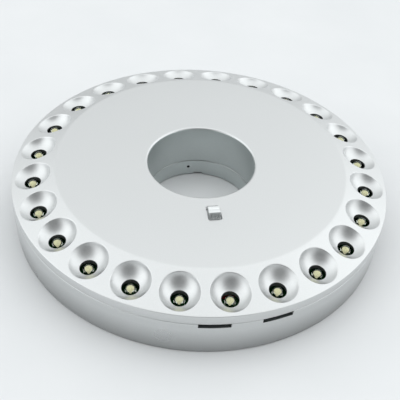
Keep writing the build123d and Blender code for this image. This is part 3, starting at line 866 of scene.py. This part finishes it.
def make_bottom_shell():
    """A dish with a collar round the bore, two battery bays, two hook pockets and screw wells."""
    mesh = bmesh.new()
    lathe(mesh, dish_profile(), closed=True)
    shell = new_piece("bottom_shell_dish", mesh, SILVER_BASE)

    # The walls are joined on first. Openings that overlap each other are cut in separate turns.
    walls, bays, recesses, nails = bmesh.new(), bmesh.new(), bmesh.new(), bmesh.new()
    buried = WALL / 2
    bay = ((BAY_INNER + BAY_OUTER) / 2, 0)
    bay_span = BAY_OUTER - BAY_INNER
    recess_span = bay_span - DOOR_LAND + DOOR_LEDGE
    recess = (BAY_OUTER + DOOR_LEDGE - recess_span / 2, 0)
    for turn in (0, 180):
        outside = oblong(bay, bay_span + 2 * BAY_WALL, 2 * (BAY_HALF + BAY_WALL), BAY_WALL)
        inside = oblong(bay, bay_span, 2 * BAY_HALF, BAY_CORNER)
        door = oblong(recess, recess_span, 2 * (BAY_HALF + DOOR_LEDGE), BAY_CORNER)
        nail = oblong((BAY_OUTER + DOOR_LEDGE, 0), 2 * NAIL_DEPTH, NAIL_WIDTH, NAIL_CORNER)
        block(walls, outside, buried, BAY_ROOF + BAY_WALL, turn)
        block(bays, inside, -WALL, BAY_ROOF, turn)
        block(recesses, door, -WALL, WALL, turn)
        block(nails, nail, -WALL, NAIL_HEIGHT, turn)
    pocket = ((POCKET_INNER + POCKET_OUTER) / 2, 0)
    pocket_span = POCKET_OUTER - POCKET_INNER
    pocket_width = 2 * (POCKET_HALF + POCKET_WALL)
    for turn in (-90, 90):
        outside = oblong(pocket, pocket_span + 2 * POCKET_WALL, pocket_width, POCKET_WALL)
        inside = oblong(pocket, pocket_span, 2 * POCKET_HALF, POCKET_CORNER)
        block(walls, outside, buried, POCKET_TOP + POCKET_WALL, turn)
        block(bays, inside, -WALL, POCKET_TOP, turn)
    for place in SCREW_PLACES:
        boss = oblong(place, SCREW_BOSS, SCREW_BOSS, SCREW_BOSS_CORNER)
        block(walls, boss, buried, SCREW_BOSS_TOP)
        block(bays, disc(place, SCREW_WELL_RADIUS), -WALL, SCREW_SEAT)
        shank_hole = disc(place, SCREW_SHANK_HOLE)
        block(recesses, shank_hole, SCREW_SEAT - WALL, SCREW_BOSS_TOP + WALL)
    slot_bottom = PARTING_HEIGHT - SLOT_HEIGHT
    slot_blocks(bays, OUTER_RADIUS, 2 * SLOT_REACH, slot_bottom, PARTING_HEIGHT + WALL)
    depth, width, height = NOTCH_SIZE
    block(bays, oblong((BORE_RADIUS, 0), depth, width), -WALL, height, NOTCH_ANGLE)
    turned = Matrix.Rotation(math.radians(VENT_ANGLE), 4, "Z")
    sideways = turned @ Matrix.Rotation(math.pi / 2, 4, "Y")
    start, end = BORE_RADIUS - WALL, BORE_OUTER + VENT_OVERCUT
    vent = [(0, start), (VENT_RADIUS, start), (VENT_RADIUS, end), (0, end)]
    lathe(recesses, vent, VENT_STEPS, Matrix.Translation((0, 0, VENT_HEIGHT)) @ sideways)
    combine(shell, walls, "UNION")
    for openings in (bays, recesses, nails):
        combine(shell, openings, "DIFFERENCE")
    sharpen(shell)

    def is_inside(radius, height, facing):
        return BARE_START < radius < BASE_BARE_END and height > WALL - PAINT_MARGIN

    paint_shell(shell, SILVER_BASE, is_inside)
    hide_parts("bottom_shell")


def led_places():
    """Where the diodes stand, as moves in millimetres."""
    turns = [math.radians(FIRST_LED_ANGLE) + i * SECTOR for i in range(LED_COUNT)]
    return [
        Matrix.Translation((HOLE_RING_RADIUS * math.cos(t), HOLE_RING_RADIUS * math.sin(t), 0))
        @ Matrix.Rotation(t, 4, "Z")
        for t in turns
    ]


def make_leds():
    """Cast 5 mm lenses, each round a tall drop of phosphor."""
    low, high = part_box("led_lenses")
    bottom, top = low.z / MM, high.z / MM
    flange_top = bottom + LED_FLANGE_HEIGHT
    lens = [(0, bottom), (LED_FLANGE_RADIUS, bottom)]
    lens += [(LED_FLANGE_RADIUS, flange_top), (LED_RADIUS, flange_top)]
    lens += arc((0, top - LED_RADIUS), LED_RADIUS, 0, 90, steps=8)
    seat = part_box("led_chips")[0].z / MM
    drop = [(radius, seat + lift) for radius, lift in DROP_PROFILE]
    lenses, drops = bmesh.new(), bmesh.new()
    for place in led_places():
        lathe(lenses, lens, LED_STEPS, place)
        lathe(drops, drop, LED_STEPS // 2, place)
    lenses = new_piece("led_domes", lenses, CLEAR_EPOXY)
    drops = new_piece("led_phosphor_drops", drops, PHOSPHOR)
    sharpen(lenses)
    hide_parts("led_lenses")
    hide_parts("led_chips")


def make_switch_knob():
    """A rounded knob on the switch's slider, with a soft groove across its top and three grips."""
    low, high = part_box("switch_knob")
    foot, top = low.z / MM, high.z / MM
    half, groove = KNOB_LENGTH / 2, KNOB_GROOVE_WIDTH / 2
    side = [(-half, foot)]
    side += arc((-half + KNOB_ROUND, top - KNOB_ROUND), KNOB_ROUND, 180, 90, steps=4)
    for i in range(KNOB_GROOVE_STEPS + 1):
        across = -groove + 2 * groove * i / KNOB_GROOVE_STEPS
        depth = KNOB_GROOVE_DEPTH * math.cos(across / groove * math.pi / 2) ** 2
        side.append((across, top - depth))
    side += arc((half - KNOB_ROUND, top - KNOB_ROUND), KNOB_ROUND, 90, 0, steps=4)
    side.append((half, foot))
    mesh = bmesh.new()
    ends = [
        [mesh.verts.new(Vector((x, y - SWITCH_RADIUS, z)) * MM) for y, z in side]
        for x in (-KNOB_WIDTH / 2, KNOB_WIDTH / 2)
    ]
    join_ends(mesh, ends)
    knob = new_piece("switch_knob_cap", mesh, KNOB_PAINT, "switch")
    grips = bmesh.new()
    for across in KNOB_GRIPS:
        front = (across, -SWITCH_RADIUS - half)
        grip = oblong(front, GRIP_WIDTH, 2 * GRIP_DEPTH, GRIP_CORNER)
        block(grips, grip, foot + GRIP_OVER_FOOT, top - GRIP_UNDER_TOP)
    combine(knob, grips, "DIFFERENCE")
    round_edges(knob, KNOB_EDGE, degrees=40)
    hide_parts("switch_knob")


def make_screws():
    """Pan-head screws with a cross recess, driven up from the underside."""
    arm = [(CROSS_REACH, CROSS_HALF), (CROSS_HALF, CROSS_HALF), (CROSS_HALF, CROSS_REACH)]
    spins = [Matrix.Rotation(turn * math.pi / 2, 2) for turn in range(4)]
    cross = [spin @ Vector(point) for spin in spins for point in arm]
    screws, recesses = bmesh.new(), bmesh.new()
    for place in SCREW_PLACES:
        lathe(screws, SCREW_PROFILE, SCREW_STEPS, Matrix.Translation((*place, 0)))
        block(recesses, [Vector(place) + point for point in cross], CROSS_BOTTOM, CROSS_TOP)
    screws = new_piece("housing_screw_set", screws, ZINC_PLATE)
    combine(screws, recesses, "DIFFERENCE")
    sharpen(screws)
    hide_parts("housing_screws")


def make_cells():
    """AA cells: a can with a crimped head, a raised end and a plain sleeve."""
    foot = CELL_HEAD - CELL_LENGTH
    profile = [(radius, foot + run) for radius, run in CELL_PROFILE]
    for side, way in (("right", 1), ("left", -1)):
        for place, point in (("inner", 1), ("outer", -1)):
            along = Matrix.Rotation(-way * point * math.pi / 2, 4, "X")
            spot = Matrix.Translation((way * CELL_OFFSETS[place], 0, CELL_HEIGHT)) @ along
            mesh = bmesh.new()
            lathe(mesh, profile, CELL_STEPS, spot)
            cell = new_piece(f"aa_cell_{side}_{place}", mesh, SHRINK_WRAP)
            cell.data.materials.append(NICKEL_PLATE)
            for face in cell.data.polygons:
                run = abs(face.center.y / MM - way * point * foot)
                face.material_index = int(run < SLEEVE_START or run > SLEEVE_END)
            sharpen(cell)
            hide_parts(f"cell_{side}_{place}")


def dress_cad_node(name, material, edge=0):
    """Give a CAD node its material and, where it shows, fine rounded edges."""
    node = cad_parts[name]
    node.data.materials.clear()
    node.data.materials.append(material)
    if edge:
        merge = node.modifiers.new("flat_faces", "DECIMATE")
        merge.decimate_type = "DISSOLVE"
        merge.angle_limit = math.radians(1)
        round_edges(node, edge)


def make_ground():
    """A broad pale ground, one-sided, so that the lamp can be seen from below."""
    mesh = bmesh.new()
    for rings in GROUND_RINGS:
        lathe(mesh, [(radius, -GROUND_GAP) for radius in rings])
    bmesh.ops.remove_doubles(mesh, verts=mesh.verts, dist=MERGE_DISTANCE)
    for face in mesh.faces:
        if face.normal.z < 0:
            face.normal_flip()
    ground = new_object("ground", mesh, pressed_paper())


def make_light():
    """A bright tent of light with the dim side of the room in front, and a softbox overhead."""
    world = bpy.data.worlds.new("light_tent")
    world.use_nodes = True
    tree = world.node_tree
    tree.nodes.clear()
    bpy.context.scene.world = world
    way = add_node(tree, "ShaderNodeTexCoord").outputs["Generated"]
    parts = add_node(tree, "ShaderNodeSeparateXYZ", links={"Vector": way})
    cloth = add_node(
        tree,
        "ShaderNodeMapRange",
        {"From Max": 1.0, "To Min": TENT_FOOT, "To Max": TENT_TOP},
        {"Value": parts.outputs["Z"]},
    )
    across = add_node(
        tree,
        "ShaderNodeMath",
        {"operation": "MULTIPLY"},
        {0: parts.outputs["X"], 1: parts.outputs["X"]},
    )
    flanks = add_node(
        tree,
        "ShaderNodeMath",
        {"operation": "MULTIPLY_ADD", 1: TENT_SIDES},
        {0: across.outputs["Value"], 2: cloth.outputs["Result"]},
    )
    facing = add_node(
        tree,
        "ShaderNodeVectorMath",
        {"operation": "DOT_PRODUCT", 1: Vector(DIM_SIDE).normalized()},
        {0: way},
    )
    dimming = add_node(
        tree,
        "ShaderNodeMapRange",
        {
            "interpolation_type": "SMOOTHSTEP",
            "From Min": math.cos(math.radians(DIM_EDGE)),
            "From Max": math.cos(math.radians(DIM_CORE)),
            "To Min": 1.0,
            "To Max": DIM_SHARE,
        },
        {"Value": facing.outputs["Value"]},
    )
    power = add_node(
        tree,
        "ShaderNodeMath",
        {"operation": "MULTIPLY"},
        {0: flanks.outputs["Value"], 1: dimming.outputs["Result"]},
    )
    glow = add_node(
        tree,
        "ShaderNodeBackground",
        {"Color": linear(TENT_COLOUR)},
        {"Strength": power.outputs["Value"]},
    )
    add_node(tree, "ShaderNodeOutputWorld", links={"Surface": glow.outputs["Background"]})

    lamp = bpy.data.lights.new("overhead_softbox", "AREA")
    lamp.shape = "SQUARE"
    lamp.size = SOFTBOX_SIZE
    lamp.energy = SOFTBOX_POWER
    softbox = bpy.data.objects.new("overhead_softbox", lamp)
    softbox.location = SOFTBOX_PLACE
    softbox.visible_glossy = False
    bpy.context.scene.collection.objects.link(softbox)
    bpy.context.scene.view_settings.view_transform = "Standard"


def make_camera():
    """The camera at the photograph's viewpoint."""
    back = Vector(CAMERA_BACK).normalized()
    up = back.cross(Vector(CAMERA_RIGHT)).normalized()
    turned = Matrix((up.cross(back), up, back)).transposed().to_4x4()
    data = bpy.data.cameras.new("photo_camera")
    data.sensor_width = CAMERA_SENSOR
    data.lens = CAMERA_LENS
    data.clip_start, data.clip_end = CAMERA_CLIP
    camera = bpy.data.objects.new("photo_camera", data)
    camera.matrix_world = Matrix.Translation(Vector(CAMERA_PLACE) * MM) @ turned
    bpy.context.scene.collection.objects.link(camera)
    bpy.context.scene.camera = camera


NODE_FINISHES = {
    "switch_slider": SILVER_TOP,
    "switch_body": BLACK_ABS,
    "switch_board": SOLDER_MASK,
    "switch_pins": NICKEL_PLATE,
    "ring_board": SOLDER_MASK,
    "ring_resistors": CERAMIC,
    "bay_leads": PVC_COVER,
    "ribbon_cable": PVC_COVER,
}
for side in ("right", "left"):
    NODE_FINISHES[f"battery_door_{side}"] = SILVER_BASE
    NODE_FINISHES[f"link_strip_{side}"] = NICKEL_PLATE
    NODE_FINISHES[f"negative_leaf_{side}"] = NICKEL_PLATE
    NODE_FINISHES[f"positive_plate_{side}"] = NICKEL_PLATE
for place in ("front", "back"):
    NODE_FINISHES[f"hook_{place}"] = SILVER_BASE
    NODE_FINISHES[f"hook_pin_{place}"] = ZINC_PLATE

# Widths of the rounded edges of the pieces that show, in millimetres
ROUNDED_NODES = {
    "battery_door_right": 0.3,
    "battery_door_left": 0.3,
    "hook_front": 0.5,
    "hook_back": 0.5,
}

make_top_shell()
make_bottom_shell()
make_leds()
make_switch_knob()
make_screws()
make_cells()
for node_name, finish in NODE_FINISHES.items():
    dress_cad_node(node_name, finish, ROUNDED_NODES.get(node_name, 0))
make_ground()
make_light()
make_camera()
